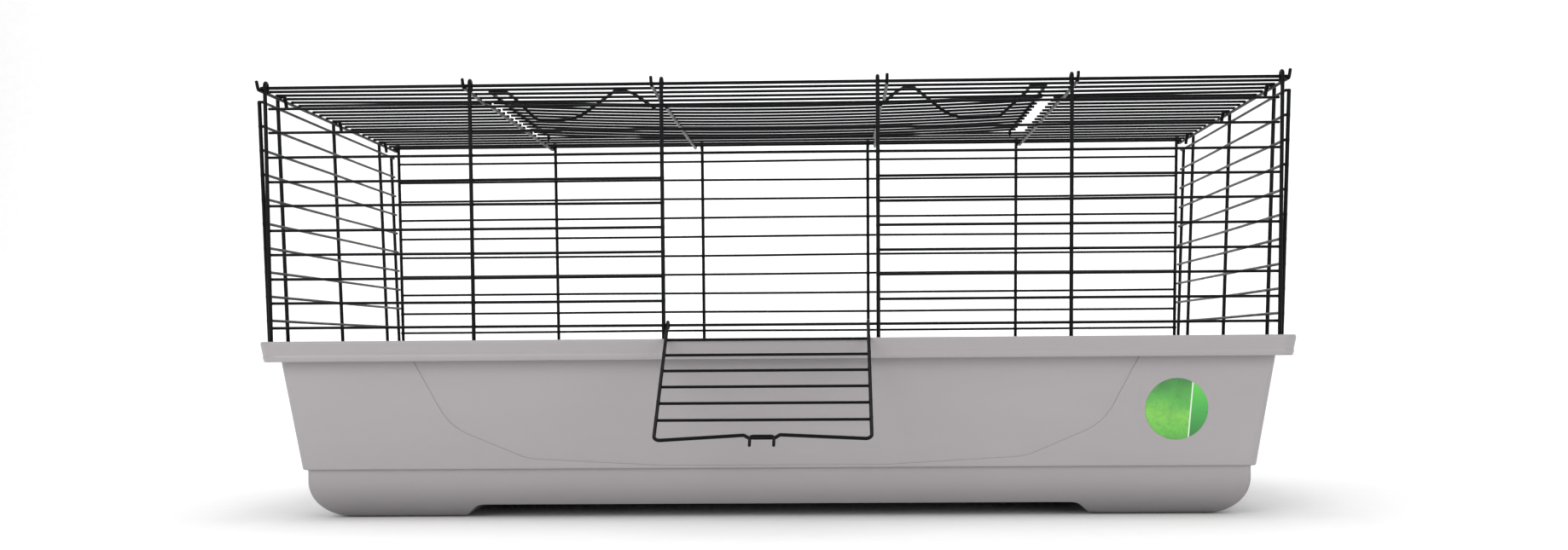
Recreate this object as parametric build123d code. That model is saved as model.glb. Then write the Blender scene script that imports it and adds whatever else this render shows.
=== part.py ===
from build123d import *
import math
import os

# Wire cage for a rabbit on a deep plastic base tray. Millimetres, +Z up.
# Working frame: x = 0 mid-length of the tray, y = 0 mean plane of the front wire panel,
# z = 0 axis of the lowest front wire (the front door's hinge wire).
# The finished parts are moved so that the origin is the centre of the whole object's footprint, on the floor.

os.makedirs("parts", exist_ok=True)

# ---- wire sizes -----------------------------------------------------------
R_VERT = 1.75          # panel uprights
R_HOR = 1.25           # panel horizontals and lengthwise roof wires
R_FRAME = 1.5          # roof edge wires, cross wires, door frames
SINK = 0.1             # depth to which resistance-welded crossings bed into each other
RUN = 0.3              # running clearance between a wire loop and the wire it turns on

# ---- wire top -------------------------------------------------------------
DEPTH = 504.0          # front panel plane to rear panel plane
PITCH = 23.7           # spacing of the horizontals in the upright panels
N_ROWS = 10            # horizontals per upright panel
X_UPRIGHTS = (485.5, 287.5, 103.3)   # half spacing of the front and rear uprights at z = 0
SPLAY = 3.7e-5         # the front and rear uprights fan out by this share per mm of height
Y_FRONT_VERT = -1.5
Y_FRONT_HOR = Y_FRONT_VERT + R_VERT + R_HOR - SINK
Z_FOOT = -23.9         # lower ends of the front and rear uprights, 0.1 above the tray's ledge
Z_WALL_FOOT = -12.8    # lower ends of the side walls' uprights, 0.4 mm above the lip of the rim
X_ROW_END = 487.5      # ends of the front and rear horizontals
X_DOOR_STOP = 102.3    # ends of the short horizontals beside the front doorway
TOP_SHIFT = -2.5       # the wire top sits this much to the left in its play on the tray

# roof
ROOF_PITCH = 24.0
Z_ROOF = 233.25        # axis of the lengthwise roof wires
Z_CROSS = Z_ROOF - R_HOR - R_FRAME + SINK
Y_ROOF_FRONT = 1.95
X_ROOF_END = 495.5
X_ROOF_CROSS = (494.1, 294.6)        # full-depth cross wires, half spacing
X_ROOF_SHORT = 113.0                 # short cross wires in the front and rear strips
X_ROOF_GAP, X_ROOF_GAP_R = 292.6, 287.5                   # inner ends of the fixed side wires beside the roof door
K_HINGE = 17                         # the lengthwise wire that the roof door turns on
Y_ROOF_HINGE = K_HINGE * ROOF_PITCH

# side walls
Y_SIDE_VERT = (61.0, 252.0, 443.0)
Y_CORNER = (5.0, 499.0)
X_SIDE = 489.1         # upright axis at z = 0
LEAN = 0.0364          # outward lean per mm of height
X_PIVOT = 494.1
Z_SIDE_ROW = 7.3
Z_POST_TOP = 222.0

# front door, drawn open: it hangs outwards and lies on the tray's rim
DOOR_ANGLE = 52.0      # from straight down, outwards
DOOR_HALF = 96.5
DOOR_X = -3.0
DOOR_ROW = 23.7
DOOR_EDGE_L, DOOR_EDGE_R = 173.0, 171.8
LOOP = R_HOR + RUN + R_FRAME         # 3.05, loop centreline radius on both door hinges

# roof door
RD_LEFT, RD_RIGHT = -282.5, 272.5
Z_RD_FRAME = Z_ROOF + LOOP
Z_RD_WIRE = Z_RD_FRAME - R_FRAME - R_HOR + SINK
RD_FRONT_Y = 108.0
RD_FIRST, RD_PITCH, RD_ROWS = 120.0, 23.6, 12

# ---- tray -----------------------------------------------------------------
RIM_HALF_X = 500.0
RIM_OVERHANG = 16.0    # rim edge beyond the front and rear panel planes
RIM_R = 22.0
Z_RIM = -13.2
Z_SKIRT = -33.0
SKIRT_DRAFT = 3.3
LIP_W = 6.5
LIP_ROUND = 1.8
Z_LEDGE = -24.0
WALL = 3.0
BODY_HALF_TOP = 482.0
BODY_FRONT_TOP = 3.0
Z_STEP = -139.3
BODY_HALF_LOW = 466.4
BODY_FRONT_LOW = 18.6
BASE_HALF = 461.5
BASE_FRONT = 23.6
Z_FLOOR = -188.5
Z_RECESS = -175.0
FOOT_IN, FOOT_SLOPE = 309.0, 17.0
CY = DEPTH / 2
RIM_HALF_Y = CY + RIM_OVERHANG

# ---- label ----------------------------------------------------------------
LABEL_X, LABEL_Z, LABEL_R, LABEL_T = 387.0, -84.0, 30.0, 0.5

# ---- placing --------------------------------------------------------------
FX = 1.14              # moves the footprint's centre to x = 0
FY = -185.87           # moves the footprint's centre to y = 0
H0 = -Z_FLOOR          # moves the foot pads to z = 0


def cyl(p0, p1, r):
    a, b = Vector(*p0), Vector(*p1)
    return Solid.make_cylinder(r, (b - a).length, Plane(origin=a, z_dir=b - a))


def bent(points, radii, r):
    path = FilletPolyline(*points, radius=radii)
    return (sweep(Plane(origin=path @ 0, z_dir=path % 0) * Circle(r), path=path)).solids()[0]


def write(name, solids, shift=TOP_SHIFT):
    place = Location((shift + FX, FY, H0))
    moved = [s.moved(place) for s in solids]
    shape = moved[0] if len(moved) == 1 else Compound(children=moved)
    shape.label = name
    export_step(shape, f"parts/{name}.step")


def x_up(x0, z):
    return x0 * (1 + SPLAY * z)


# =========================== tray ==========================================
def rr(hx, hy, r, z):
    return Plane.XY.offset(z) * Pos(0, CY, 0) * RectangleRounded(2 * hx, 2 * hy, r)


def block(a, b):
    return loft([rr(*a), rr(*b)], ruled=True)


draft = (BODY_HALF_TOP - BODY_HALF_LOW) / (Z_SKIRT - Z_STEP)


def body_section(z, inset=0.0, r=10.0):
    grow = (z - Z_SKIRT) * draft
    return (BODY_HALF_TOP + grow - inset, CY - BODY_FRONT_TOP + grow - inset, r - inset, z)


rim = block((RIM_HALF_X, RIM_HALF_Y, RIM_R, Z_RIM),
            (RIM_HALF_X - SKIRT_DRAFT, RIM_HALF_Y - SKIRT_DRAFT, RIM_R - SKIRT_DRAFT, Z_SKIRT))
rim = fillet(rim.faces().sort_by(Axis.Z)[-1].outer_wire().edges(), LIP_ROUND)
under = SKIRT_DRAFT + WALL + 0.5
rim -= block((RIM_HALF_X - under, RIM_HALF_Y - under, RIM_R - under + 2, Z_LEDGE - WALL),
             (RIM_HALF_X - under, RIM_HALF_Y - under, RIM_R - under + 2, Z_SKIRT - 1))
rim -= block((RIM_HALF_X - LIP_W, RIM_HALF_Y - LIP_W, RIM_R - LIP_W, Z_RIM + 1),
             (RIM_HALF_X - LIP_W, RIM_HALF_Y - LIP_W, RIM_R - LIP_W, Z_LEDGE))
shell = block(body_section(Z_LEDGE - WALL), body_section(Z_STEP))


def rounded_basin(hx, hy, top, bottom, end_round, side_round):
    """A block whose lower edges are rounded widely at its two ends and less along front and rear."""
    def across(h, r, plane, length):
        sketch = make_face(plane * Polyline((-h, top), (-h, bottom), (h, bottom), (h, top), close=True))
        solid = extrude(sketch, amount=length, dir=tuple(-plane.z_dir))
        lower = [e for e in solid.edges() if abs(e.center().Z - bottom) < 1e-6 and e.length > length - 1e-6]
        return fillet(lower, r)
    long_way = across(hx, end_round, Plane(origin=(0, CY - hy, 0), x_dir=(1, 0, 0), z_dir=(0, -1, 0)), 2 * hy)
    short_way = across(hy, side_round, Plane(origin=(hx, CY, 0), x_dir=(0, 1, 0), z_dir=(1, 0, 0)), 2 * hx)
    return long_way & short_way


base = rounded_basin(BASE_HALF, CY - BASE_FRONT, Z_STEP, Z_FLOOR, 38.0, 36.0)
tray = rim + shell + base

# cavity: upper walls, then the stepped-in base
tray -= block(body_section(Z_LEDGE + 2, WALL), body_section(Z_STEP + WALL, WALL))
tray -= rounded_basin(BASE_HALF - WALL, CY - BASE_FRONT - WALL, Z_STEP + WALL + 1, Z_RECESS + WALL, 34.0, 32.0)

# the middle of the floor is raised between the two foot pads, with a sloped wall each side
Y_CUT0, Y_CUT1 = -40.0, DEPTH + 40.0
recess = Polyline((-FOOT_IN - 1.5, Z_FLOOR - 1), (-FOOT_IN + FOOT_SLOPE, Z_RECESS),
                  (FOOT_IN - FOOT_SLOPE, Z_RECESS), (FOOT_IN + 1.5, Z_FLOOR - 1), close=True)
recess_face = make_face(Plane(origin=(0, Y_CUT0, 0), x_dir=(1, 0, 0), z_dir=(0, -1, 0)) * recess)
tray -= extrude(recess_face, amount=Y_CUT1 - Y_CUT0, dir=(0, 1, 0))
for side in (-1, 1):
    pocket = Polyline((side * (FOOT_IN - FOOT_SLOPE + 6), Z_RECESS + WALL + 1), (side * (FOOT_IN + 5), Z_FLOOR + WALL),
                      (side * 414.0, Z_FLOOR + WALL), (side * 414.0, Z_RECESS + WALL + 1), close=True)
    pocket_face = make_face(Plane(origin=(0, 70.0, 0), x_dir=(1, 0, 0), z_dir=(0, -1, 0)) * pocket)
    tray -= extrude(pocket_face, amount=DEPTH - 140.0, dir=(0, 1, 0))

# shallow moulded panel in the front wall, bounded by a wide arch
tilt = math.atan(draft)
front_plane = Plane(origin=(0, BODY_FRONT_TOP, Z_SKIRT), x_dir=(1, 0, 0),
                    z_dir=(0, -math.cos(tilt), -math.sin(tilt)))


def on_face(x, z):
    return (x, (z - Z_SKIRT) / math.cos(tilt))


arch_pts = [on_face(*p) for p in ((-355, -26), (-318, -98), (-243, -130), (-110, -137.4),
                                  (110, -137.4), (243, -130), (318, -98), (355, -26))]
arch = make_face(Polyline(*arch_pts, close=True))
low = [v for v in arch.vertices() if v.Y < on_face(0, -60)[1]]
arch = fillet(low, 55.0)
tray -= extrude(front_plane * arch, amount=-0.8)
tray_solid = tray.solids().sort_by(SortBy.VOLUME)[-1]
write("tray_base", [tray_solid], 0)

label_place = front_plane * Pos(LABEL_X, on_face(0, LABEL_Z)[1], 0)
write("front_label", [extrude(label_place * Circle(LABEL_R), amount=LABEL_T).solids()[0]], 0)

# =========================== roof of the wire top ==========================
y_k = {k: k * ROOF_PITCH for k in range(1, 21)}
write("roof_front_wire", [cyl((-X_ROOF_END, Y_ROOF_FRONT, Z_ROOF + 0.25), (X_ROOF_END, Y_ROOF_FRONT, Z_ROOF + 0.25), R_FRAME)])
write("roof_rear_wire", [cyl((-X_ROOF_END, DEPTH - Y_ROOF_FRONT, Z_ROOF + 0.25), (X_ROOF_END, DEPTH - Y_ROOF_FRONT, Z_ROOF + 0.25), R_FRAME)])


def length_wire(y, x0, x1):
    return cyl((x0, y, Z_ROOF), (x1, y, Z_ROOF), R_HOR)


write("roof_front_strip_wires", [length_wire(y_k[k], -X_ROOF_END, X_ROOF_END) for k in (1, 2, 3, 4)])
write("roof_rear_strip_wires", [length_wire(y_k[k], -X_ROOF_END, X_ROOF_END) for k in (18, 19, 20)])
write("roof_hinge_wire", [length_wire(Y_ROOF_HINGE, -X_ROOF_END, X_ROOF_END)])
write("roof_left_wires", [length_wire(y_k[k], -X_ROOF_END, -X_ROOF_GAP) for k in range(5, 17)])
write("roof_right_wires", [length_wire(y_k[k], X_ROOF_GAP_R, X_ROOF_END) for k in range(5, 17)])

front_tip = [(-13.0, Z_CROSS + 7.9), (-7.5, Z_CROSS)]
rear_tip = [(DEPTH + 7.5, Z_CROSS), (DEPTH + 13.0, Z_CROSS + 7.9)]
cross = []
for x in (-X_ROOF_CROSS[0], -X_ROOF_CROSS[1], X_ROOF_CROSS[1], X_ROOF_CROSS[0]):
    cross.append(bent([(x, y, z) for y, z in front_tip + rear_tip], 4.0, R_FRAME))
write("roof_cross_wires", cross)
short = []
for x in (-X_ROOF_SHORT, X_ROOF_SHORT):
    short.append(bent([(x, y, z) for y, z in front_tip + [(98.0, Z_CROSS)]], 4.0, R_FRAME))
    short.append(bent([(x, y, z) for y, z in [(406.0, Z_CROSS)] + rear_tip], 4.0, R_FRAME))
write("roof_short_cross_wires", short)

# =========================== front and rear panels =========================
Z_HOOK = 238.45


def panel_upright(x0, rear):
    def yy(y):
        return DEPTH - y if rear else y
    xt = x_up(x0, Z_HOOK)
    pts = [(x_up(x0, Z_FOOT), yy(Y_FRONT_VERT), Z_FOOT), (xt, yy(Y_FRONT_VERT), Z_HOOK),
           (xt, yy(Y_FRONT_VERT + 6.9), Z_HOOK), (xt, yy(Y_FRONT_VERT + 6.9), 228.0)]
    return bent(pts, 3.4, R_VERT)


signed = [s * x for x in X_UPRIGHTS for s in (-1, 1)]
write("front_uprights", [panel_upright(x, False) for x in signed])
write("rear_uprights", [panel_upright(x, True) for x in signed])


def row(y, z, x0, x1):
    return cyl((x0, y, z), (x1, y, z), R_HOR)


rows_z = [PITCH * j for j in range(N_ROWS)]
y_rear = DEPTH - Y_FRONT_HOR
write("rear_rows", [row(y_rear, z, -X_ROW_END, X_ROW_END) for z in rows_z])
write("front_top_rows", [row(Y_FRONT_HOR, z, -X_ROW_END, X_ROW_END) for z in rows_z[7:]])
write("front_left_rows", [row(Y_FRONT_HOR, z, -X_ROW_END, -X_DOOR_STOP) for z in rows_z[1:7]])
write("front_right_rows", [row(Y_FRONT_HOR, z, X_DOOR_STOP, X_ROW_END) for z in rows_z[1:7]])
write("front_hinge_wire", [row(Y_FRONT_HOR, 0.0, -X_ROW_END, X_ROW_END)])

# =========================== side walls ====================================
# Each wall hangs by three hooked uprights from the roof's edge cross wire and folds inwards on it.
x_loop = X_PIVOT + 3.6


def side_x(z):
    return x_loop + (z - Z_CROSS) * LEAN


for name, s in (("left_wall", -1), ("right_wall", 1)):
    ups = [cyl((s * side_x(Z_WALL_FOOT), y, Z_WALL_FOOT), (s * side_x(Z_POST_TOP), y, Z_POST_TOP), R_VERT)
           for y in Y_CORNER]
    zt = Z_CROSS + 3.58
    for y in Y_SIDE_VERT:
        pts = [(s * side_x(Z_WALL_FOOT), y, Z_WALL_FOOT), (s * side_x(zt), y, zt),
               (s * (X_PIVOT - 3.62), y, zt), (s * (X_PIVOT - 5.6), y, 221.5)]
        ups.append(bent(pts, 3.2, R_VERT))
    write(name + "_uprights", ups)
    gap = R_VERT + R_HOR - SINK
    write(name + "_rows", [cyl((s * (side_x(z) - gap), 3.1, z), (s * (side_x(z) - gap), DEPTH - 3.1, z), R_HOR)
                           for z in (Z_SIDE_ROW + PITCH * j for j in range(N_ROWS))])

# =========================== front door ====================================
swing = math.radians(DOOR_ANGLE)


def on_door(x, s, n):
    """x across the door, s down along it from the hinge axis, n out of its upper side."""
    return (DOOR_X + x, Y_FRONT_HOR - s * math.sin(swing) - n * math.cos(swing), -s * math.cos(swing) + n * math.sin(swing))


loop_l = [(-DOOR_HALF, 1.6, -LOOP), (-DOOR_HALF, -LOOP, -LOOP), (-DOOR_HALF, -LOOP, LOOP)]
edge = [(-DOOR_HALF, DOOR_EDGE_L, LOOP), (-16.8, 166.2, LOOP), (-12.4, 169.8, LOOP), (11.0, 169.8, LOOP),
        (15.2, 165.8, LOOP), (DOOR_HALF, DOOR_EDGE_R, LOOP)]
loop_r = [(DOOR_HALF, -LOOP, LOOP), (DOOR_HALF, -LOOP, -LOOP), (DOOR_HALF, 1.6, -LOOP)]
write("front_door_frame", [bent([on_door(*p) for p in loop_l + edge + loop_r],
                                [3.0, 3.0, 5.5, 2.6, 2.6, 2.6, 2.6, 5.5, 3.0, 3.0], R_FRAME)])
n_row = LOOP - R_FRAME - R_HOR + SINK
write("front_door_rows", [cyl(on_door(-DOOR_HALF - 1.2, DOOR_ROW * j, n_row), on_door(DOOR_HALF + 1.2, DOOR_ROW * j, n_row), R_HOR)
                          for j in range(1, 7)])
n_latch = LOOP + R_FRAME + 1.3 - SINK
write("front_door_latch", [bent([on_door(-11.2, 184.0, n_latch), on_door(-11.2, 170.6, n_latch),
                                 on_door(10.2, 170.6, n_latch), on_door(10.2, 184.0, n_latch)], 3.0, 1.3)])

# =========================== roof door =====================================
# Each side frame is one wire: a loop round the hinge wire, the door's side, a hairpin over the front
# strip, then a spring wave whose trough hangs inside the cage and whose crest reaches over the front strip.
Y_NOSE, Y_WAVE = 54.0, 104.4


def roof_frame(x_leg, x_back, wave):
    pts = [(x_leg, Y_ROOF_HINGE - 1.6, Z_ROOF - LOOP), (x_leg, Y_ROOF_HINGE + LOOP, Z_ROOF - LOOP),
           (x_leg, Y_ROOF_HINGE + LOOP, Z_RD_FRAME), (x_leg, Y_NOSE, Z_RD_FRAME),
           (x_back, Y_NOSE, Z_RD_FRAME), (x_back, Y_WAVE, Z_RD_FRAME)] + wave
    radii = [3.0, 3.0, 6.5, 6.5, 4.0] + [12.0, 40.0] + [6.0] * (len(wave) - 3)
    return bent(pts, radii, R_FRAME)


left_wave = [(-243.0, Y_WAVE, 213.5), (-203.0, Y_WAVE, 213.5), (-166.5, Y_WAVE, 239.6), (-160.0, 84.0, 239.6),
             (-149.5, 84.0, 239.6), (-143.0, Y_WAVE, 239.6), (-121.0, Y_WAVE + 2.0, 224.0)]
right_wave = [(230.0, Y_WAVE, 211.5), (182.0, Y_WAVE, 211.5), (148.0, Y_WAVE, 239.4), (143.0, 84.0, 239.4),
              (133.0, 84.0, 239.4), (127.0, Y_WAVE, 239.4), (113.0, Y_WAVE + 2.0, 228.0)]
write("roof_door_left_frame", [roof_frame(RD_LEFT, -266.0, left_wave)])
write("roof_door_right_frame", [roof_frame(RD_RIGHT, 257.5, right_wave)])
rd_x0, rd_x1 = RD_LEFT - 8.5, RD_RIGHT + 4.0
write("roof_door_front_wire", [cyl((rd_x0, RD_FRONT_Y, Z_RD_WIRE), (rd_x1, RD_FRONT_Y, Z_RD_WIRE), R_HOR)])
write("roof_door_rows", [cyl((rd_x0, RD_FIRST + RD_PITCH * i, Z_RD_WIRE), (rd_x1, RD_FIRST + RD_PITCH * i, Z_RD_WIRE), R_HOR)
                         for i in range(RD_ROWS)])
z_in = Z_RD_WIRE - R_HOR - R_FRAME + SINK
write("roof_door_inner_wires", [cyl((x, RD_FRONT_Y - 1.5, z_in), (x, RD_FIRST + RD_PITCH * (RD_ROWS - 1) + 1.5, z_in), R_FRAME)
                                for x in (-110.0, 110.0)])
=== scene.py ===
import math
import random

import bmesh
import bpy
from mathutils import Matrix, Vector


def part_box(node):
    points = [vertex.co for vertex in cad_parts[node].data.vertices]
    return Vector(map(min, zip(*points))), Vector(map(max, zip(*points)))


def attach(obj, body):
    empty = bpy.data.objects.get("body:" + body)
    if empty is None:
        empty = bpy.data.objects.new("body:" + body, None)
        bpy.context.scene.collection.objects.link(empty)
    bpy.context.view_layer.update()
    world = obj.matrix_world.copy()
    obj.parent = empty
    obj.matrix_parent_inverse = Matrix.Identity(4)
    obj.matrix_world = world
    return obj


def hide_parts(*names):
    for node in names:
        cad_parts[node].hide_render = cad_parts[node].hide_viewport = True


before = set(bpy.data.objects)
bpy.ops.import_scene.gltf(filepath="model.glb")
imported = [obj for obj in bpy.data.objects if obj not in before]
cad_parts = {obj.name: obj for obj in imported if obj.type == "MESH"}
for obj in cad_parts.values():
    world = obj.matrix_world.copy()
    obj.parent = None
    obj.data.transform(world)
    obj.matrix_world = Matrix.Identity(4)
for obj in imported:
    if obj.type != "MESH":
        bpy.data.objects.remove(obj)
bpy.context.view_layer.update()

random.seed(7)
rnd = random.Random(11)

# ---------------------------------------------------------------------------------------------------------------
# Local frames. Lengths below are millimetres in the cage's working frame: x = 0 mid-length, y = 0 mean plane of
# the front panel, z = 0 axis of the lowest front wire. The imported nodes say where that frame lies.
# ---------------------------------------------------------------------------------------------------------------
hinge_lo, hinge_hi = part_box("front_hinge_wire")
tray_lo, tray_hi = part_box("tray_base")
TOP_X = (hinge_lo[0] + hinge_hi[0]) / 2 * 1000
TRAY_X = (tray_lo[0] + tray_hi[0]) / 2 * 1000
Z0 = (hinge_lo[2] + hinge_hi[2]) / 2 * 1000
Y_FRONT_HOR = 1.4
Y0 = (hinge_lo[1] + hinge_hi[1]) / 2 * 1000 - Y_FRONT_HOR
DEPTH = 504.0
CY = DEPTH / 2


def top(p):
    return Vector(((p[0] + TOP_X) / 1000, (p[1] + Y0) / 1000, (p[2] + Z0) / 1000))


def tray_pt(x, y, z):
    return Vector(((x + TRAY_X) / 1000, (y + Y0) / 1000, (z + Z0) / 1000))


# ---------------------------------------------------------------------------------------------------------------
# Materials
# ---------------------------------------------------------------------------------------------------------------
def new_material(name):
    m = bpy.data.materials.new(name)
    m.use_nodes = True
    nt = m.node_tree
    for n in list(nt.nodes):
        nt.nodes.remove(n)
    out = nt.nodes.new("ShaderNodeOutputMaterial")
    b = nt.nodes.new("ShaderNodeBsdfPrincipled")
    nt.links.new(b.outputs[0], out.inputs[0])
    return m, nt, b


def add(nt, kind, **kw):
    n = nt.nodes.new(kind)
    for k, v in kw.items():
        setattr(n, k, v)
    return n


def noise(nt, coord, scale, detail=4.0, rough=0.55, stretch=None):
    n = add(nt, "ShaderNodeTexNoise")
    n.inputs["Scale"].default_value = scale
    n.inputs["Detail"].default_value = detail
    n.inputs["Roughness"].default_value = rough
    if stretch:
        mp = add(nt, "ShaderNodeMapping")
        mp.inputs["Scale"].default_value = stretch
        nt.links.new(coord, mp.inputs["Vector"])
        coord = mp.outputs[0]
    nt.links.new(coord, n.inputs["Vector"])
    return n.outputs["Fac"]


def ramp(nt, fac, stops):
    r = add(nt, "ShaderNodeValToRGB")
    e = r.color_ramp.elements
    while len(e) < len(stops):
        e.new(0.5)
    for el, (pos, col) in zip(e, stops):
        el.position = pos
        el.color = (*col, 1.0) if len(col) == 3 else col
    nt.links.new(fac, r.inputs[0])
    return r.outputs[0]


def rng(nt, fac, a, b, lo, hi):
    r = add(nt, "ShaderNodeMapRange")
    r.inputs["From Min"].default_value = a
    r.inputs["From Max"].default_value = b
    r.inputs["To Min"].default_value = lo
    r.inputs["To Max"].default_value = hi
    nt.links.new(fac, r.inputs["Value"])
    return r.outputs[0]


def math_node(nt, op, a, b):
    n = add(nt, "ShaderNodeMath", operation=op)
    for i, v in enumerate((a, b)):
        if isinstance(v, (int, float)):
            n.inputs[i].default_value = v
        else:
            nt.links.new(v, n.inputs[i])
    return n.outputs[0]


def mix(nt, fac, a, b):
    n = add(nt, "ShaderNodeMix", data_type="RGBA")
    nt.links.new(fac, n.inputs[0])
    for i, v in ((6, a), (7, b)):
        if isinstance(v, tuple):
            n.inputs[i].default_value = (*v, 1.0)
        else:
            nt.links.new(v, n.inputs[i])
    return n.outputs[2]


def bump(nt, b, layers):
    prev = None
    for height, strength, dist in layers:
        n = add(nt, "ShaderNodeBump")
        n.inputs["Strength"].default_value = strength
        n.inputs["Distance"].default_value = dist
        nt.links.new(height, n.inputs["Height"])
        if prev is not None:
            nt.links.new(prev, n.inputs["Normal"])
        prev = n.outputs[0]
    nt.links.new(prev, b.inputs["Normal"])


def wire_material(name, tint, seed):
    """Black dip-coated steel wire: satin, a little uneven where the coat ran, dulled by fine dust."""
    m, nt, b = new_material(name)
    tc = add(nt, "ShaderNodeTexCoord")
    mp = add(nt, "ShaderNodeMapping")
    mp.inputs["Location"].default_value = (seed, seed * 0.7, seed * 1.3)
    nt.links.new(tc.outputs["Object"], mp.inputs["Vector"])
    co = mp.outputs[0]
    runs = noise(nt, co, 55.0, 3.0, 0.5)
    grain = noise(nt, co, 900.0, 3.0, 0.6)
    dust = noise(nt, co, 14.0, 5.0, 0.65)
    base = ramp(nt, runs, [(0.30, tuple(0.72 * c for c in tint)), (0.72, tuple(1.35 * c for c in tint))])
    d = rng(nt, dust, 0.50, 0.82, 0.0, 0.38)
    col = mix(nt, d, base, (0.006, 0.006, 0.007))
    nt.links.new(col, b.inputs["Base Color"])
    r1 = rng(nt, runs, 0.25, 0.75, 0.24, 0.40)
    r2 = math_node(nt, "ADD", r1, math_node(nt, "MULTIPLY", d, 0.25))
    nt.links.new(r2, b.inputs["Roughness"])
    b.inputs["IOR"].default_value = 1.42
    b.inputs["Specular IOR Level"].default_value = 0.12
    bump(nt, b, [(runs, 0.35, 0.0004), (grain, 0.18, 0.0001)])
    return m


def tray_material():
    """Light warm-grey moulded plastic: satin with a fine moulding grain, faint flow clouds and scuffs on the rim. The
    rim skirt also carries a faint painted shade, and painted shade darkens the walls towards the floor."""
    m, nt, b = new_material("tray_plastic_look")
    tc = add(nt, "ShaderNodeTexCoord")
    co = tc.outputs["Object"]
    sep = add(nt, "ShaderNodeSeparateXYZ")
    nt.links.new(co, sep.inputs[0])
    z = sep.outputs[2]
    clouds = noise(nt, co, 3.2, 3.0, 0.5, (1.0, 1.0, 1.8))
    flow = noise(nt, co, 26.0, 4.0, 0.6, (0.35, 1.0, 1.6))
    grain = noise(nt, co, 1700.0, 2.0, 0.5)
    orange = noise(nt, co, 240.0, 2.0, 0.5)
    scuff_n = noise(nt, co, 60.0, 8.0, 0.75, (0.16, 0.5, 2.2))
    base = ramp(nt, clouds, [(0.30, (0.322, 0.303, 0.309)), (0.70, (0.344, 0.325, 0.332))])
    base = mix(nt, rng(nt, flow, 0.35, 0.75, 0.0, 0.22), base, (0.300, 0.283, 0.289))
    # Painted shade: a faint darker tint laid over the rim skirt band by height, standing in for the rim's shading.
    rim = rng(nt, z, 0.150, 0.170, 0.0, 1.0)
    scuffs = math_node(nt, "MULTIPLY", rng(nt, scuff_n, 0.60, 0.70, 0.0, 0.45), rng(nt, z, 0.145, 0.168, 0.25, 1.0))
    base = mix(nt, math_node(nt, "MULTIPLY", rim, 0.30), base, (0.312, 0.294, 0.300))
    base = mix(nt, scuffs, base, (0.410, 0.396, 0.401))
    # Painted shade: the colour is darkened more and more towards the bottom of the tray, near the floor, to stand in
    # for shade there.
    painted_floor_shade = rng(nt, z, 0.0, 0.052, 0.80, 0.0)
    base = mix(nt, painted_floor_shade, base, (0.168, 0.158, 0.162))
    nt.links.new(base, b.inputs["Base Color"])
    rough = rng(nt, flow, 0.30, 0.75, 0.34, 0.46)
    rough = math_node(nt, "ADD", rough, math_node(nt, "MULTIPLY", scuffs, 0.35))
    nt.links.new(rough, b.inputs["Roughness"])
    b.inputs["IOR"].default_value = 1.49
    bump(nt, b, [(grain, 0.22, 0.00010), (orange, 0.10, 0.0003), (scuff_n, 0.04, 0.0003)])
    return m


def label_material(origin, right, up):
    """A plain printed green disc: soft foliage-like tones, one pale divider, a plain side strip. No words or picture."""
    m, nt, b = new_material("label_print")
    tc = add(nt, "ShaderNodeTexCoord")
    co = tc.outputs["Object"]

    def along(axis):
        sub = add(nt, "ShaderNodeVectorMath", operation="SUBTRACT")
        sub.inputs[1].default_value = origin
        nt.links.new(co, sub.inputs[0])
        dot = add(nt, "ShaderNodeVectorMath", operation="DOT_PRODUCT")
        dot.inputs[1].default_value = axis
        nt.links.new(sub.outputs[0], dot.inputs[0])
        return dot.outputs["Value"]

    u, v = along(right), along(up)
    blur = noise(nt, co, 70.0, 2.0, 0.5)
    leaf = noise(nt, co, 260.0, 5.0, 0.6)
    vv = math_node(nt, "ADD", v, math_node(nt, "MULTIPLY", blur, 0.022))
    body = ramp(nt, rng(nt, vv, -0.022, 0.040, 0.0, 1.0), [
        (0.0, (0.070, 0.300, 0.045)), (0.22, (0.130, 0.470, 0.060)), (0.45, (0.190, 0.530, 0.070)),
        (0.66, (0.090, 0.400, 0.060)), (1.0, (0.030, 0.200, 0.035))])
    body = mix(nt, rng(nt, leaf, 0.45, 0.70, 0.0, 0.35), body, (0.035, 0.190, 0.025))
    strip = ramp(nt, rng(nt, v, -0.028, 0.028, 0.0, 1.0), [
        (0.0, (0.020, 0.180, 0.030)), (0.45, (0.045, 0.340, 0.055)), (1.0, (0.100, 0.560, 0.060))])
    edge = math_node(nt, "SUBTRACT", u, math_node(nt, "MULTIPLY", v, 0.062))
    col = mix(nt, rng(nt, edge, 0.01335, 0.01345, 0.0, 1.0), body, strip)
    line = math_node(nt, "MULTIPLY", rng(nt, edge, 0.01265, 0.01280, 0.0, 1.0), rng(nt, edge, 0.01390, 0.01405, 1.0, 0.0))
    col = mix(nt, line, col, (0.640, 0.780, 0.620))
    nt.links.new(col, b.inputs["Base Color"])
    nt.links.new(rng(nt, leaf, 0.3, 0.7, 0.26, 0.38), b.inputs["Roughness"])
    b.inputs["Coat Weight"].default_value = 0.35
    b.inputs["Coat Roughness"].default_value = 0.10
    bump(nt, b, [(blur, 0.06, 0.0004)])
    return m


WIRE = wire_material("black_wire_coat", (0.0034, 0.0034, 0.0046), 0.0)
WIRE_DOOR = wire_material("black_wire_coat_doors", (0.0033, 0.0033, 0.0044), 3.1)
TRAY = tray_material()


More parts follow.
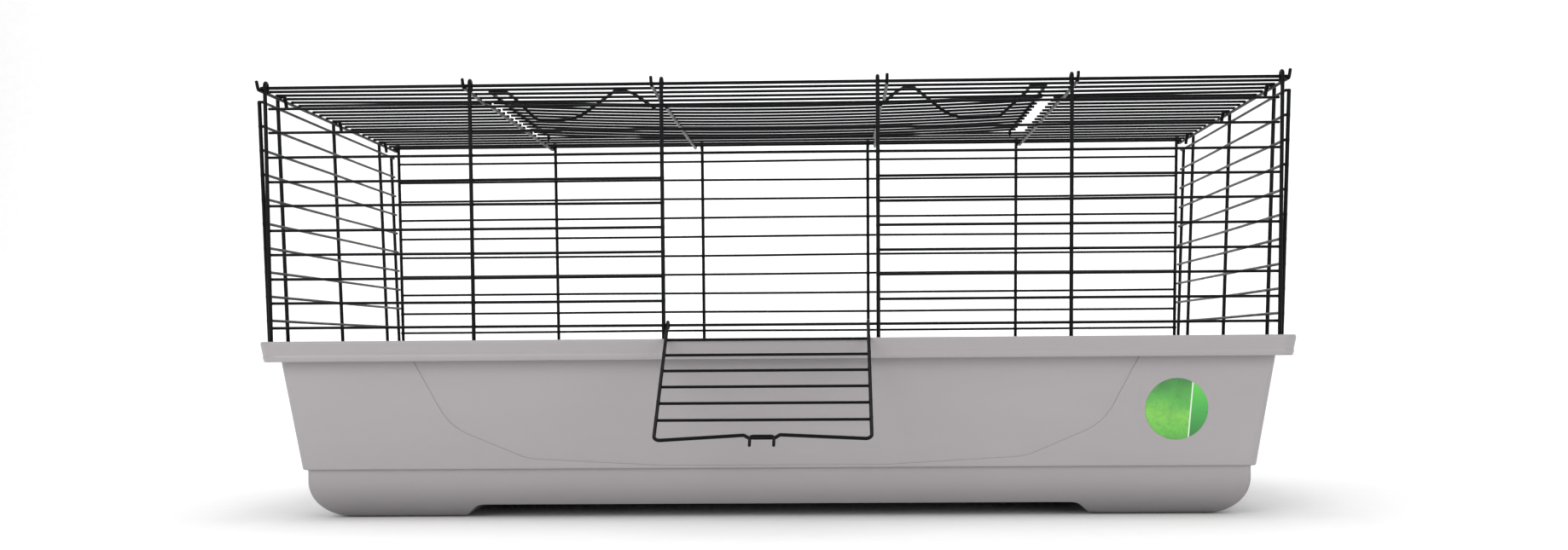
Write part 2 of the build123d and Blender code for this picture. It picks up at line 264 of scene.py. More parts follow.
# ---------------------------------------------------------------------------------------------------------------
# Wire work: round wire swept along bent paths, domed ends, coat gathered at every weld
# ---------------------------------------------------------------------------------------------------------------
def seg_arc(points, radii, step=10.0):
    """Corners rounded to the given radii; returns a list of vectors along the path."""
    pts = [Vector(p) for p in points]
    if len(pts) == 2:
        return pts
    if not isinstance(radii, (list, tuple)):
        radii = [radii] * (len(pts) - 2)
    out = [pts[0]]
    for i in range(1, len(pts) - 1):
        a, c, b = pts[i - 1], pts[i], pts[i + 1]
        d1, d2 = (a - c).normalized(), (b - c).normalized()
        ang = d1.angle(d2)
        turn = math.pi - ang
        if turn < 1e-3:
            out.append(c)
            continue
        r = radii[i - 1]
        t = r * math.tan(turn / 2)
        p1, p2 = c + d1 * t, c + d2 * t
        bis = (d1 + d2).normalized()
        centre = c + bis * (r / math.sin(ang / 2))
        u, w = p1 - centre, p2 - centre
        n = max(3, int(math.degrees(turn) / step) + 1)
        for k in range(n + 1):
            q = k / n * turn
            out.append(centre + (u * math.sin(turn - q) + w * math.sin(q)) / math.sin(turn))
    out.append(pts[-1])
    return out


COAT = 1.09    # the dip coat stands a tenth of a millimetre or so proud of the bare wire


class Wire:
    def __init__(self, points, r, radii=None, field=None, dense=0.0):
        self.ctrl = [Vector(p) for p in points]
        self.r, self.radii, self.field, self.dense = r * COAT, radii, field, dense
        self.marks = []

    def stations(self):
        line = seg_arc(self.ctrl, self.radii)
        cum = [0.0]
        for p, q in zip(line, line[1:]):
            cum.append(cum[-1] + (q - p).length)
        total = cum[-1]

        def at(s):
            s = min(max(s, 0.0), total)
            for i in range(len(line) - 1):
                if s <= cum[i + 1] or i == len(line) - 2:
                    f = (s - cum[i]) / max(cum[i + 1] - cum[i], 1e-9)
                    return line[i].lerp(line[i + 1], f)

        marks = []
        for m in self.marks:
            best = (1e9, 0.0)
            for i, (p, q) in enumerate(zip(line, line[1:])):
                d = q - p
                f = min(max((m - p).dot(d) / max(d.length_squared, 1e-12), 0.0), 1.0)
                gap = (p + d * f - m).length
                if gap < best[0]:
                    best = (gap, cum[i] + f * d.length)
            if best[0] < self.r * 2.5:
                marks.append(best[1])
        r = self.r
        st = set(cum)
        for m in marks:
            for o in (-3.2, -1.9, -1.0, 0.0, 1.0, 1.9, 3.2):
                if 2.0 < m + o < total - 2.0:
                    st.add(m + o)
        if self.dense:
            n = int(total / self.dense)
            st.update(total * k / n for k in range(1, n))
        st = sorted(st)
        keep = [st[0]]
        for s in st[1:]:
            if s - keep[-1] > 0.28:
                keep.append(s)
        if total - keep[-1] < 0.28:
            keep[-1] = total
        out = []
        for s in keep:
            swell = 0.075 * sum(math.exp(-((s - m) / 1.5) ** 2) for m in marks if abs(s - m) < 6)
            out.append((at(s), r * (1 + min(swell, 0.09))))
        # domed cut ends
        ends = ((0.0, 0.30), (0.06 * r, 0.62), (0.20 * r, 0.84), (0.45 * r, 0.97))
        head = [(at(o), r * k) for o, k in ends] + [x for x in out[1:-1] if True]
        tail = [(at(total - o), r * k) for o, k in reversed(ends)]
        body = [x for x, s in zip(out, keep) if 0.7 * r < s < total - 0.7 * r]
        return head[:4] + body + tail

    def points(self):
        st = self.stations()
        if self.field:
            st = [(p + self.field(p), r) for p, r in st]
        return st


def closest(p1, q1, p2, q2):
    d1, d2, w = q1 - p1, q2 - p2, p1 - p2
    a, b, c, d, e = d1.dot(d1), d1.dot(d2), d2.dot(d2), d1.dot(w), d2.dot(w)
    den = a * c - b * b
    if den < 1e-6 * a * c:
        return None
    s, t = (b * e - c * d) / den, (a * e - b * d) / den
    if not (-0.001 <= s <= 1.001 and -0.001 <= t <= 1.001):
        return None
    return p1 + d1 * s, p2 + d2 * t


NUGGETS = {}


def weld(name, A, B, slack=0.25):
    """Marks every crossing of two sets of wires, and keeps a nugget of coat for the first set's piece."""
    for a in A:
        for b in B:
            for p1, q1 in zip(a.ctrl, a.ctrl[1:]):
                for p2, q2 in zip(b.ctrl, b.ctrl[1:]):
                    got = closest(p1, q1, p2, q2)
                    if got is None or (got[0] - got[1]).length > a.r + b.r + slack:
                        continue
                    pa, pb = got
                    a.marks.append(pa)
                    b.marks.append(pb)
                    n = (pb - pa).normalized()
                    f = a.field or b.field
                    mid = pa + n * (a.r - 0.05)
                    if f:
                        mid = mid + f(mid)
                    NUGGETS.setdefault(name, []).append((mid, n, (q1 - p1).normalized()))


SEG = 16


def sweep_into(verts, faces, stations, conv):
    pts = [p for p, _ in stations]
    n = len(pts)
    tang = []
    for i in range(n):
        a, b = pts[max(i - 1, 0)], pts[min(i + 1, n - 1)]
        tang.append((b - a).normalized())
    t0 = tang[0]
    ref = Vector((0, 0, 1)) if abs(t0.z) < 0.9 else Vector((0, 1, 0))
    u = (ref - t0 * ref.dot(t0)).normalized()
    start = len(verts)
    for i, (p, r) in enumerate(stations):
        t = tang[i]
        u = (u - t * u.dot(t)).normalized()
        w = t.cross(u)
        for k in range(SEG):
            q = 2 * math.pi * k / SEG
            verts.append(conv(p + u * (math.cos(q) * r) + w * (math.sin(q) * r)))
    for i in range(n - 1):
        a, b = start + i * SEG, start + (i + 1) * SEG
        for k in range(SEG):
            l = (k + 1) % SEG
            faces.append((a + k, a + l, b + l, b + k))
    faces.append(tuple(start + k for k in reversed(range(SEG))))
    last = start + (n - 1) * SEG
    faces.append(tuple(last + k for k in range(SEG)))


def nugget_into(verts, faces, mid, n, d, conv, size=(1.75, 1.45, 0.95)):
    u = (d - n * d.dot(n)).normalized()
    w = n.cross(u)
    start = len(verts)
    rows, cols = 6, 12
    verts.append(conv(mid - n * size[2]))
    for i in range(1, rows):
        a = math.pi * i / rows
        for k in range(cols):
            q = 2 * math.pi * k / cols
            verts.append(conv(mid + u * (size[0] * math.sin(a) * math.cos(q)) + w * (size[1] * math.sin(a) * math.sin(q))
                              - n * (size[2] * math.cos(a))))
    verts.append(conv(mid + n * size[2]))
    end = len(verts) - 1
    for k in range(cols):
        l = (k + 1) % cols
        faces.append((start, start + 1 + l, start + 1 + k))
        for i in range(rows - 2):
            a, b = start + 1 + i * cols, start + 1 + (i + 1) * cols
            faces.append((a + k, a + l, b + l, b + k))
        a = start + 1 + (rows - 2) * cols
        faces.append((a + k, a + l, end))


def piece(name, verts, faces, material, body, node=None, sharp=None):
    me = bpy.data.meshes.new(name)
    me.from_pydata(verts, [], faces)
    me.validate()
    me.polygons.foreach_set("use_smooth", [True] * len(me.polygons))
    if sharp:
        me.set_sharp_from_angle(angle=math.radians(sharp))
    me.materials.append(material)
    ob = bpy.data.objects.new(name, me)
    bpy.context.scene.collection.objects.link(ob)
    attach(ob, body)
    if node:
        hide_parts(node)
    return ob


def wires_piece(node, body, wires, material=None):
    verts, faces = [], []
    for w in wires:
        sweep_into(verts, faces, w.points(), top)
    for mid, n, d in NUGGETS.get(node, ()):
        nugget_into(verts, faces, mid, n, d, top)
    return piece("wire_" + node, verts, faces, material or WIRE, body, node, 60)


# ---------------------------------------------------------------------------------------------------------------
# The wires, as the design places them
# ---------------------------------------------------------------------------------------------------------------
R_VERT, R_HOR, R_FRAME = 1.75, 1.25, 1.5
PITCH, N_ROWS = 23.7, 10
X_UPRIGHTS = (485.5, 287.5, 103.3)
Z_FOOT, Z_ROOF, ROOF_PITCH = -23.9, 233.25, 24.0
Z_CROSS = Z_ROOF - R_HOR - R_FRAME + 0.1
LOOP = 3.05
Z_HOOK = 238.45


def wobble(amp, axis, freq=1.0):
    """A drawn wire is never dead straight: a slow bow along x or y."""
    ph, ph2 = rnd.uniform(0, 6.28), rnd.uniform(0, 6.28)
    k1, k2 = rnd.uniform(0.8, 1.3) * freq, rnd.uniform(2.0, 3.1) * freq

    def f(p):
        t = (p.x if axis == "x" else p.y) / 500.0
        return Vector((0, 0, amp * (math.sin(math.pi * k1 * t + ph) + 0.45 * math.sin(math.pi * k2 * t + ph2))))
    return f


def front_strip_sag(p):
    if p.y > 110:
        return Vector((0, 0, 0))
    share = min(max(p.y / 96.0, 0.0), 1.0)
    return Vector((0, 0, -2.4 * share * max(0.0, 1 - (p.x / 495.0) ** 2)))


def door_sag(p):
    t = (p.x + 5.0) / 279.0
    return Vector((0, 0, -6.3 * max(0.0, 1 - t * t)))


def length_wire(y, x0, x1, field=None, dense=0.0, z=Z_ROOF):
    return Wire([(x0, y, z), (x1, y, z)], R_HOR, field=field, dense=dense)


XE = 495.5
front_edge = [Wire([(-XE, 1.95, Z_ROOF + 0.25), (XE, 1.95, Z_ROOF + 0.25)], R_FRAME)]
rear_edge = [Wire([(-XE, DEPTH - 1.95, Z_ROOF + 0.25), (XE, DEPTH - 1.95, Z_ROOF + 0.25)], R_FRAME)]
front_strip = [length_wire(ROOF_PITCH * k, -XE, XE, front_strip_sag, 20.0) for k in (1, 2, 3, 4)]
rear_strip = [length_wire(ROOF_PITCH * k, -XE, XE) for k in (18, 19, 20)]
hinge_row = [length_wire(ROOF_PITCH * 17, -XE, XE)]
left_roof = [length_wire(ROOF_PITCH * k, -XE, -292.6) for k in range(5, 17)]
right_roof = [length_wire(ROOF_PITCH * k, 287.5, XE) for k in range(5, 17)]
front_tip = [(-13.0, Z_CROSS + 7.9), (-7.5, Z_CROSS)]
rear_tip = [(DEPTH + 7.5, Z_CROSS), (DEPTH + 13.0, Z_CROSS + 7.9)]


def sag_centre(p):
    return front_strip_sag(p) if abs(p.x) < 480 else Vector((0, 0, 0))


cross = [Wire([(x, y, z) for y, z in front_tip + rear_tip], R_FRAME, 4.0,
              field=(sag_centre if abs(x) < 400 else None), dense=24.0) for x in (-494.1, -294.6, 294.6, 494.1)]
short = []
for x in (-113.0, 113.0):
    short.append(Wire([(x, y, z) for y, z in front_tip + [(98.0, Z_CROSS)]], R_FRAME, 4.0, field=sag_centre, dense=16.0))
    short.append(Wire([(x, y, z) for y, z in [(406.0, Z_CROSS)] + rear_tip], R_FRAME, 4.0))


def x_up(x0, z):
    return x0 * (1 + 3.7e-5 * z)


def panel_upright(x0, rear):
    def yy(y):
        return DEPTH - y if rear else y
    xt = x_up(x0, Z_HOOK)
    return Wire([(x_up(x0, Z_FOOT), yy(-1.5), Z_FOOT), (xt, yy(-1.5), Z_HOOK), (xt, yy(5.4), Z_HOOK), (xt, yy(5.4), 228.0)],
                R_VERT, 3.4)


signed = [s * x for x in X_UPRIGHTS for s in (-1, 1)]
front_up = [panel_upright(x, False) for x in signed]
rear_up = [panel_upright(x, True) for x in signed]


def row(y, z, x0, x1, amp=0.22):
    return Wire([(x0, y, z), (x1, y, z)], R_HOR, field=wobble(amp, "x"), dense=30.0)


rows_z = [PITCH * j for j in range(N_ROWS)]
rear_rows = [row(DEPTH - Y_FRONT_HOR, z, -487.5, 487.5, 0.30) for z in rows_z]
front_top = [row(Y_FRONT_HOR, z, -487.5, 487.5) for z in rows_z[7:]]
front_left = [row(Y_FRONT_HOR, z, -487.5, -102.3) for z in rows_z[1:7]]
front_right = [row(Y_FRONT_HOR, z, 102.3, 487.5) for z in rows_z[1:7]]
front_hinge = [Wire([(-487.5, Y_FRONT_HOR, 0), (487.5, Y_FRONT_HOR, 0)], R_HOR)]

weld("roof_cross_wires", cross, front_edge + rear_edge + front_strip + rear_strip + hinge_row + left_roof + right_roof, 0.3)
weld("roof_short_cross_wires", short, front_edge + rear_edge + front_strip + rear_strip + hinge_row, 0.3)
weld("front_top_rows", front_top, front_up)
weld("front_left_rows", front_left, front_up)
weld("front_right_rows", front_right, front_up)
weld("front_hinge_wire", front_hinge, front_up)
weld("rear_rows", rear_rows, rear_up)

for node, ws in (("roof_front_wire", front_edge), ("roof_rear_wire", rear_edge), ("roof_front_strip_wires", front_strip),
                 ("roof_rear_strip_wires", rear_strip), ("roof_hinge_wire", hinge_row), ("roof_left_wires", left_roof),
                 ("roof_right_wires", right_roof), ("roof_cross_wires", cross), ("roof_short_cross_wires", short),
                 ("front_uprights", front_up), ("rear_uprights", rear_up), ("rear_rows", rear_rows),
                 ("front_top_rows", front_top), ("front_left_rows", front_left), ("front_right_rows", front_right),
                 ("front_hinge_wire", front_hinge)):
    wires_piece(node, "wire_top", ws)

# side walls
X_PIVOT, LEAN = 494.1, 0.0364
x_loop = X_PIVOT + 3.6


def side_x(z):
    return x_loop + (z - Z_CROSS) * LEAN


Z_WALL_FOOT = -14.6
for name, s in (("left_wall", -1), ("right_wall", 1)):
    ups = [Wire([(s * side_x(Z_WALL_FOOT), y, Z_WALL_FOOT), (s * side_x(222.0), y, 222.0)], R_VERT) for y in (5.0, 499.0)]
    zt = Z_CROSS + 3.58
    for y in (61.0, 252.0, 443.0):
        ups.append(Wire([(s * side_x(Z_WALL_FOOT), y, Z_WALL_FOOT), (s * side_x(zt), y, zt),
                         (s * (X_PIVOT - 3.62), y, zt), (s * (X_PIVOT - 5.6), y, 221.5)], R_VERT, 3.2))
    gap = R_VERT + R_HOR - 0.1
    rows = []
    for j in range(N_ROWS):
        z = 7.3 + PITCH * j
        rows.append(Wire([(s * (side_x(z) - gap), 3.1, z), (s * (side_x(z) - gap), DEPTH - 3.1, z)], R_HOR,
                         field=wobble(0.2, "y"), dense=30.0))
    weld(name + "_rows", rows, ups)
    wires_piece(name + "_uprights", name, ups)
    wires_piece(name + "_rows", name, rows)

# front door
SWING = math.radians(52.0)
DOOR_X, DOOR_HALF, DOOR_ROW = -3.0, 96.5, 23.7


def on_door(x, s, n):
    return (DOOR_X + x, Y_FRONT_HOR - s * math.sin(SWING) - n * math.cos(SWING), -s * math.cos(SWING) + n * math.sin(SWING))


loop_l = [(-DOOR_HALF, 1.6, -LOOP), (-DOOR_HALF, -LOOP, -LOOP), (-DOOR_HALF, -LOOP, LOOP)]
edge = [(-DOOR_HALF, 173.0, LOOP), (-16.8, 166.2, LOOP), (-12.4, 169.8, LOOP), (11.0, 169.8, LOOP),
        (15.2, 165.8, LOOP), (DOOR_HALF, 171.8, LOOP)]
loop_r = [(DOOR_HALF, -LOOP, LOOP), (DOOR_HALF, -LOOP, -LOOP), (DOOR_HALF, 1.6, -LOOP)]
door_frame = [Wire([on_door(*p) for p in loop_l + edge + loop_r], R_FRAME, [3.0, 3.0, 5.5, 2.6, 2.6, 2.6, 2.6, 5.5, 3.0, 3.0])]
n_row = LOOP - R_FRAME - R_HOR + 0.1
door_rows = [Wire([on_door(-DOOR_HALF - 1.2, DOOR_ROW * j, n_row), on_door(DOOR_HALF + 1.2, DOOR_ROW * j, n_row)], R_HOR)
             for j in range(1, 7)]
n_latch = LOOP + R_FRAME + 1.3 - 0.1
latch = [Wire([on_door(-11.2, 184.0, n_latch), on_door(-11.2, 170.6, n_latch), on_door(10.2, 170.6, n_latch),
               on_door(10.2, 184.0, n_latch)], 1.3, 3.0)]
weld("front_door_rows", door_rows, door_frame)
for x in (-9.0, 8.0):
    mid = Vector(on_door(x, 170.2, LOOP + R_FRAME - 0.1))
    NUGGETS.setdefault("front_door_latch", []).append((mid, (Vector(on_door(0, 0, 1)) - Vector(on_door(0, 0, 0))), Vector((1, 0, 0))))
wires_piece("front_door_frame", "front_door", door_frame, WIRE_DOOR)
wires_piece("front_door_rows", "front_door", door_rows, WIRE_DOOR)
wires_piece("front_door_latch", "front_door", latch, WIRE_DOOR)

# roof door
RD_LEFT, RD_RIGHT, Y_RH = -282.5, 272.5, 408.0
Z_RF = Z_ROOF + LOOP
Z_RW = Z_RF - R_FRAME - R_HOR + 0.1
Y_NOSE, Y_WAVE = 54.0, 104.4


def roof_frame(x_leg, x_back, wave):
    pts = [(x_leg, Y_RH - 1.6, Z_ROOF - LOOP), (x_leg, Y_RH + LOOP, Z_ROOF - LOOP), (x_leg, Y_RH + LOOP, Z_RF),
           (x_leg, Y_NOSE, Z_RF), (x_back, Y_NOSE, Z_RF), (x_back, Y_WAVE, Z_RF)] + wave
    return Wire(pts, R_FRAME, [3.0, 3.0, 6.5, 6.5, 4.0] + [12.0, 40.0, 5.0, 4.2, 4.2, 5.0][:len(wave) - 1])


left_wave = [(-243.0, Y_WAVE, 213.5), (-203.0, Y_WAVE, 213.5), (-166.5, Y_WAVE, 239.6), (-160.0, 84.0, 239.6),
             (-149.5, 84.0, 239.6), (-143.0, Y_WAVE, 239.6), (-121.0, Y_WAVE + 2.0, 224.0)]
right_wave = [(230.0, Y_WAVE, 211.5), (182.0, Y_WAVE, 211.5), (148.0, Y_WAVE, 239.4), (143.0, 84.0, 239.4),
              (133.0, 84.0, 239.4), (127.0, Y_WAVE, 239.4), (113.0, Y_WAVE + 2.0, 228.0)]
rd_left = [roof_frame(RD_LEFT, -266.0, left_wave)]
rd_right = [roof_frame(RD_RIGHT, 257.5, right_wave)]
x0, x1 = RD_LEFT - 8.5, RD_RIGHT + 4.0
rd_front = [Wire([(x0, 108.0, Z_RW), (x1, 108.0, Z_RW)], R_HOR, field=door_sag, dense=16.0)]
rd_rows = [Wire([(x0, 120.0 + 23.6 * i, Z_RW), (x1, 120.0 + 23.6 * i, Z_RW)], R_HOR, field=door_sag, dense=16.0)
           for i in range(12)]
z_in = Z_RW - R_HOR - R_FRAME + 0.1
rd_inner = [Wire([(x, 106.5, z_in), (x, 120.0 + 23.6 * 11 + 1.5, z_in)], R_FRAME, field=door_sag) for x in (-110.0, 110.0)]
weld("roof_door_rows", rd_rows, rd_left + rd_right + rd_inner)
weld("roof_door_front_wire", rd_front, rd_left + rd_right + rd_inner)
for node, ws in (("roof_door_left_frame", rd_left), ("roof_door_right_frame", rd_right), ("roof_door_front_wire", rd_front),
                 ("roof_door_rows", rd_rows), ("roof_door_inner_wires", rd_inner)):
    wires_piece(node, "roof_door", ws, WIRE_DOOR)

# ---------------------------------------------------------------------------------------------------------------
# The tray: one thin moulded shell, lofted through rounded-rectangle sections from the foot round the lip to the floor
# ---------------------------------------------------------------------------------------------------------------
NX, NY, NC = 40, 22, 14


def section(hx, hy, r, z):
    pts = []
    r = max(r, 1.0)
    for cx, cy, a0 in ((hx - r, -(hy - r), -90), (hx - r, hy - r, 0), (-(hx - r), hy - r, 90), (-(hx - r), -(hy - r), 180)):
        arc = [(cx + r * math.cos(math.radians(a0 + 90 * k / NC)), cy + r * math.sin(math.radians(a0 + 90 * k / NC)))
               for k in range(NC + 1)]
        pts.append(arc)
    loop = []
    for i, arc in enumerate(pts):
        loop += arc
        nxt = pts[(i + 1) % 4][0]
        n = NY if i % 2 == 0 else NX
        for k in range(1, n):
            f = k / n
            loop.append((arc[-1][0] + (nxt[0] - arc[-1][0]) * f, arc[-1][1] + (nxt[1] - arc[-1][1]) * f))
    return [tray_pt(x, y + CY, z) for x, y in loop]


DRAFT = 15.6 / 106.3
RIM_DY, BODY_DY = 232.0, 233.0
Z_RIM, Z_FLOOR = -13.2, -188.5


def basin(hx, hy, bottom, end_round, side_round, corner, steps, start):
    """Levels of a block rounded widely at its two ends and a little less along front and rear, from the bottom up."""
    deep = max(end_round, side_round)
    out = []
    for k in range(steps + 1):
        h = deep * (1 - math.cos(math.radians(90 * k / steps)))
        dx = end_round - math.sqrt(max(end_round ** 2 - max(end_round - h, 0) ** 2, 0))
        dy = side_round - math.sqrt(max(side_round ** 2 - max(side_round - h, 0) ** 2, 0))
        x, y = hx - dx, hy - dy
        out.append((x, x - y, corner, bottom + h))
    return [q for q in out if q[3] <= start]


rows = basin(461.5, 228.4, Z_FLOOR, 38.0, 36.0, 5.0, 18, -142.0)
rows += [(461.5, BODY_DY, 5, -145.0), (461.5, BODY_DY, 5, -141.2), (461.6, BODY_DY, 5.2, -140.4), (462.0, BODY_DY, 5.8, -139.9),
         (462.7, BODY_DY, 6.5, -139.6), (465.0, BODY_DY, 8.6, -139.5), (465.9, BODY_DY, 9.5, -139.2), (466.35, BODY_DY, 10, -138.6)]
for z in (-137.8, -133, -120, -105, -90, -75, -60, -48, -38, -33, -29.5, -28.2):
    rows.append((482 + (z + 33) * DRAFT, BODY_DY, 10, z))
rows += [(483.0, BODY_DY, 10, -27.4), (483.9, BODY_DY - 0.1, 11, -27.0), (488.0, BODY_DY - 0.5, 14, -27.0),
         (492.2, RIM_DY, 17, -27.0), (492.9, RIM_DY, 17.1, -27.3), (493.2, RIM_DY, 17.2, -28.0), (493.2, RIM_DY, 17.2, -32.4),
         (493.4, RIM_DY, 17.4, -32.8), (493.9, RIM_DY, 17.6, -33.0), (496.0, RIM_DY, 18.5, -33.0), (496.6, RIM_DY, 18.8, -32.8)]


def skirt(z):
    return 500 - 3.3 * (Z_RIM - z) / 19.8


for z, o in ((-32.3, 0.05), (-31.4, 0.34), (-30.4, 0.52), (-29.2, 0.56), (-28.3, 0.44), (-27.5, 0.20), (-26.9, 0.0), (-26.3, -0.10),
             (-25.7, -0.06), (-25.0, 0.0), (-22.5, 0.0), (-19.0, 0.0), (-16.5, 0.0)):
    rows.append((skirt(z) + o, RIM_DY, 21 + o, z))
for k in range(0, 6):
    t = math.radians(6 + 78 * k / 5)
    rows.append((497.75 + 1.8 * math.cos(t), RIM_DY, 19.6 + 1.8 * math.cos(t), Z_RIM - 1.8 + 1.8 * math.sin(t)))
rows += [(497.3, RIM_DY, 19.2, Z_RIM), (495.6, RIM_DY, 17.6, Z_RIM), (494.3, RIM_DY, 16.3, Z_RIM - 0.02), (493.8, RIM_DY, 15.8, Z_RIM - 0.2),
         (493.5, RIM_DY, 15.5, Z_RIM - 0.7), (493.5, RIM_DY, 15.5, -19.0), (493.5, RIM_DY, 15.5, -22.9), (493.2, RIM_DY, 15.4, -23.6),
         (492.5, RIM_DY, 15.2, -23.95), (491.8, RIM_DY, 15.0, -24.0), (486.0, BODY_DY - 0.5, 12, -24.0), (482.2, BODY_DY, 8, -24.0),
         (481.2, BODY_DY, 7.4, -24.3), (480.5, BODY_DY, 7, -25.0), (480.1, BODY_DY, 7, -25.9)]
for z in (-30, -40, -60, -80, -100, -120, -132, -134.6):
    rows.append((479 + (z + 33) * DRAFT, BODY_DY, 7, z))
rows += [(463.8, BODY_DY, 7, -135.7), (463.2, BODY_DY, 7, -136.2), (461.0, BODY_DY, 6, -136.3), (459.6, BODY_DY, 5.6, -136.5),
         (458.8, BODY_DY, 5.2, -137.0), (458.5, BODY_DY, 5, -137.6)]
rows += [q for q in reversed(basin(458.5, 225.4, -172.0, 34.0, 32.0, 4.0, 14, -138.5))]

verts, faces = [], []
per = None
for hx, dy, r, z in rows:
    ring = section(hx, hx - dy, r, z)
    per = len(ring)
    verts += ring
for i in range(len(rows) - 1):
    a, b = i * per, (i + 1) * per
    for k in range(per):
        l = (k + 1) % per
        faces.append((a + k, a + l, b + l, b + k))
faces.append(tuple(reversed(range(per))))
last = (len(rows) - 1) * per
faces.append(tuple(last + k for k in range(per)))


def mesh_object(name, verts, faces):
    me = bpy.data.meshes.new(name)
    me.from_pydata(verts, [], faces)
    me.validate()
    bm = bmesh.new()
    bm.from_mesh(me)
    bmesh.ops.recalc_face_normals(bm, faces=bm.faces)
    bm.to_mesh(me)
    bm.free()
    ob = bpy.data.objects.new(name, me)
    bpy.context.scene.collection.objects.link(ob)
    return ob


def prism(name, profile, a, b):
    """Closed prism: profile points through the two placing functions a and b."""
    n = len(profile)
    v = [a(*p) for p in profile] + [b(*p) for p in profile]
    f = [tuple(range(n)), tuple(range(2 * n - 1, n - 1, -1))]
    f += [(k, (k + 1) % n, n + (k + 1) % n, n + k) for k in range(n)]
    return mesh_object(name, v, f)


tray = mesh_object("tray_shell", verts, faces)
cutters = []
half = [(316, -189.1), (312.4, -188.4), (309.6, -187.4), (306.4, -185.4), (297.8, -177.9), (294.7, -176.1), (291.0, -175.3), (286.5, -175.0)]
prof = [(-345, -193), (-345, -189.2)] + [(-x, z) for x, z in half] + [(x, z) for x, z in reversed(half)] + [(345, -189.2), (345, -193)]
cutters.append(prism("cut_floor", prof, lambda x, z: tray_pt(x, -40, z), lambda x, z: tray_pt(x, DEPTH + 40, z)))
for s in (-1, 1):
    prof = [(s * 297, -170), (s * 299, -172.4), (s * 312, -184.2), (s * 316, -185.5), (s * 409, -185.5), (s * 412.5, -184.5), (s * 414, -181), (s * 414, -170)]
    cutters.append(prism("cut_foot", prof, lambda x, z: tray_pt(x, 70, z), lambda x, z: tray_pt(x, DEPTH - 70, z)))

tilt = math.atan(DRAFT)


def on_face(x, z, depth):
    """A point over the sloping front wall: z as height at the wall, depth inwards, in the tray's frame."""
    y = 3.0 + (-33.0 - z) * DRAFT
    return tray_pt(x, y + depth * math.cos(tilt), z + depth * math.sin(tilt))


outline = [(-355, -26), (-318, -98), (-243, -130), (-110, -137.4), (110, -137.4), (243, -130), (318, -98), (355, -26)]
smooth = [(p.x, p.y) for p in seg_arc([Vector((x, z, 0)) for x, z in outline], 55.0, 3.0)]


def inner(x, z):
    return (x * (1 - 0.9 / 340), z + 0.9 * min(1.0, max(0.0, (-z - 26) / 90)))


cutters.append(prism("cut_arch", smooth, lambda x, z: on_face(*inner(x, z), 0.85), lambda x, z: on_face(x, z, -4.0)))
for c in cutters:
    mod = tray.modifiers.new("cut", "BOOLEAN")
    mod.operation, mod.object, mod.solver = "DIFFERENCE", c, "EXACT"
dg = bpy.context.evaluated_depsgraph_get()
cut = bpy.data.meshes.new_from_object(tray.evaluated_get(dg))
tray.modifiers.clear()
tray.data = cut
for c in cutters:
    bpy.data.objects.remove(c)
bm = bmesh.new()
bm.from_mesh(cut)
bmesh.ops.remove_doubles(bm, verts=bm.verts, dist=1e-6)
bm.to_mesh(cut)
bm.free()
cut.polygons.foreach_set("use_smooth", [True] * len(cut.polygons))
cut.set_sharp_from_angle(angle=math.radians(38))
cut.materials.clear()
cut.materials.append(TRAY)
wn = tray.modifiers.new("normals", "WEIGHTED_NORMAL")
wn.keep_sharp = True
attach(tray, "tray")
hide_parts("tray_base")

# ---------------------------------------------------------------------------------------------------------------
# The label: a thin laminated disc with a softened edge, pressed onto the sloping wall
# ---------------------------------------------------------------------------------------------------------------
LX, LZ, LR = 387.0, -84.0, 30.0
up = (on_face(LX, LZ + 1, 0) - on_face(LX, LZ, 0)).normalized()
right = Vector((1, 0, 0))
out = right.cross(up)
c0 = on_face(LX, LZ, 0)
verts, faces = [], []
prof = [(30.0, 0.0), (30.0, 0.22), (29.93, 0.34), (29.8, 0.40), (29.2, 0.42), (22.0, 0.42), (14.0, 0.42), (6.0, 0.42)]
M = 96
for r, h in prof:
    for k in range(M):
        q = 2 * math.pi * k / M
        verts.append(c0 + (right * (math.cos(q) * r) + up * (math.sin(q) * r)) / 1000 + out * (h / 1000))
for i in range(len(prof) - 1):
    for k in range(M):
        l = (k + 1) % M
        faces.append((i * M + k, i * M + l, (i + 1) * M + l, (i + 1) * M + k))
faces.append(tuple((len(prof) - 1) * M + k for k in range(M)))
faces.append(tuple(reversed(range(M))))
LABEL = label_material(tuple(c0), tuple(right), tuple(up))
piece("label_disc", verts, faces, LABEL, "tray", "front_label", 50)

# ---------------------------------------------------------------------------------------------------------------
# Stage, light, camera
# ---------------------------------------------------------------------------------------------------------------
floor_mat, nt, b = new_material("floor_paper")
tc = add(nt, "ShaderNodeTexCoord")
fn = noise(nt, tc.outputs["Object"], 40.0, 3.0, 0.5)
nt.links.new(ramp(nt, fn, [(0.3, (0.93, 0.93, 0.93)), (0.7, (0.95, 0.95, 0.95))]), b.inputs["Base Color"])
b.inputs["Roughness"].default_value = 0.9
W, BACK, RAD = 9.0, 4.0, 1.6
prof = [(-6.0, 0.0), (BACK - RAD, 0.0)]
prof += [(BACK - RAD + RAD * math.sin(math.radians(a)), RAD - RAD * math.cos(math.radians(a))) for a in range(6, 91, 6)]
prof += [(BACK, 6.0)]
fv = [(-W, y, z) for y, z in prof] + [(W, y, z) for y, z in prof]
n = len(prof)
ff = [(k, n + k, n + k + 1, k + 1) for k in range(n - 1)]
me = bpy.data.meshes.new("studio_floor")
me.from_pydata(fv, [], ff)
me.materials.append(floor_mat)
for p in me.polygons:
    p.use_smooth = True
floor = bpy.data.objects.new("studio_floor", me)
bpy.context.scene.collection.objects.link(floor)

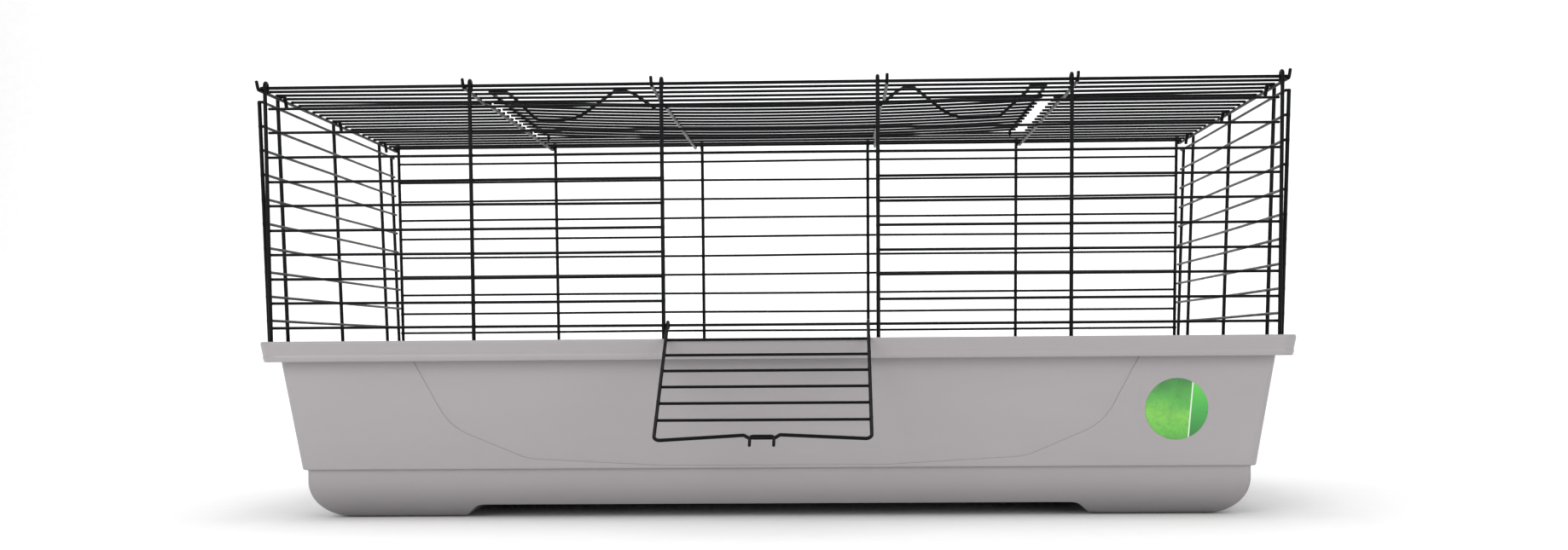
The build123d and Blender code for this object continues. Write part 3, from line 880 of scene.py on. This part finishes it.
scene = bpy.context.scene
scene.view_settings.view_transform = "Standard"
world = bpy.data.worlds.new("studio")
world.use_nodes = True
bg = world.node_tree.nodes["Background"]
bg.inputs["Color"].default_value = (1.0, 1.0, 1.0, 1.0)
bg.inputs["Strength"].default_value = 0.62
scene.world = world


def area(name, loc, target, size, size_y, power, color=(1, 1, 1)):
    l = bpy.data.lights.new(name, "AREA")
    l.shape, l.size, l.size_y, l.energy, l.color = "RECTANGLE", size, size_y, power, color
    o = bpy.data.objects.new(name, l)
    o.location = loc
    o.rotation_euler = (Vector(target) - Vector(loc)).to_track_quat("-Z", "Y").to_euler()
    scene.collection.objects.link(o)
    return o


area("key_softbox", (-1.7, -2.9, 1.35), (0.0, 0.0, 0.15), 2.2, 1.8, 44.0)
area("fill_softbox", (2.4, -2.7, 1.0), (0.0, 0.0, 0.15), 2.0, 1.6, 26.0)
area("top_softbox", (0.0, 0.9, 3.2), (0.0, 0.3, 0.2), 2.4, 1.6, 22.0)
area("back_wash", (0.0, 1.6, 2.6), (0.0, 4.0, 1.0), 4.0, 1.2, 48.0)
area("floor_wash", (0.0, -0.4, 2.9), (0.0, -0.5, 0.0), 3.2, 1.0, 20.0)

# camera: seen from slightly right of the middle, low, level, from about 1.8 m
CAM = Vector(((TOP_X + 63.1 - 1.1) / 1000, (Y0 - 1641.1) / 1000, (Z0 - 24.1) / 1000))
YAW, ROLL = 0.0302, -0.0072
F = Vector((-math.sin(YAW), math.cos(YAW), 0.0))
R = Vector((math.cos(YAW), math.sin(YAW), 0.0))
U = R.cross(F)
R2 = R * math.cos(ROLL) + U * math.sin(ROLL)
U2 = U * math.cos(ROLL) - R * math.sin(ROLL)
cam_data = bpy.data.cameras.new("camera")
cam_data.sensor_width = 36.0
cam_data.sensor_fit = "HORIZONTAL"
cam_data.lens = 36.0 * 2000.0 / 1838.0
cam_data.shift_y = (409.77 - 322.5) / 1838.0
cam_data.clip_start = 0.01
cam_data.clip_end = 60.0
cam = bpy.data.objects.new("camera", cam_data)
m = Matrix(((R2.x, U2.x, -F.x, CAM.x), (R2.y, U2.y, -F.y, CAM.y), (R2.z, U2.z, -F.z, CAM.z), (0, 0, 0, 1)))
cam.matrix_world = m
scene.collection.objects.link(cam)
scene.camera = cam
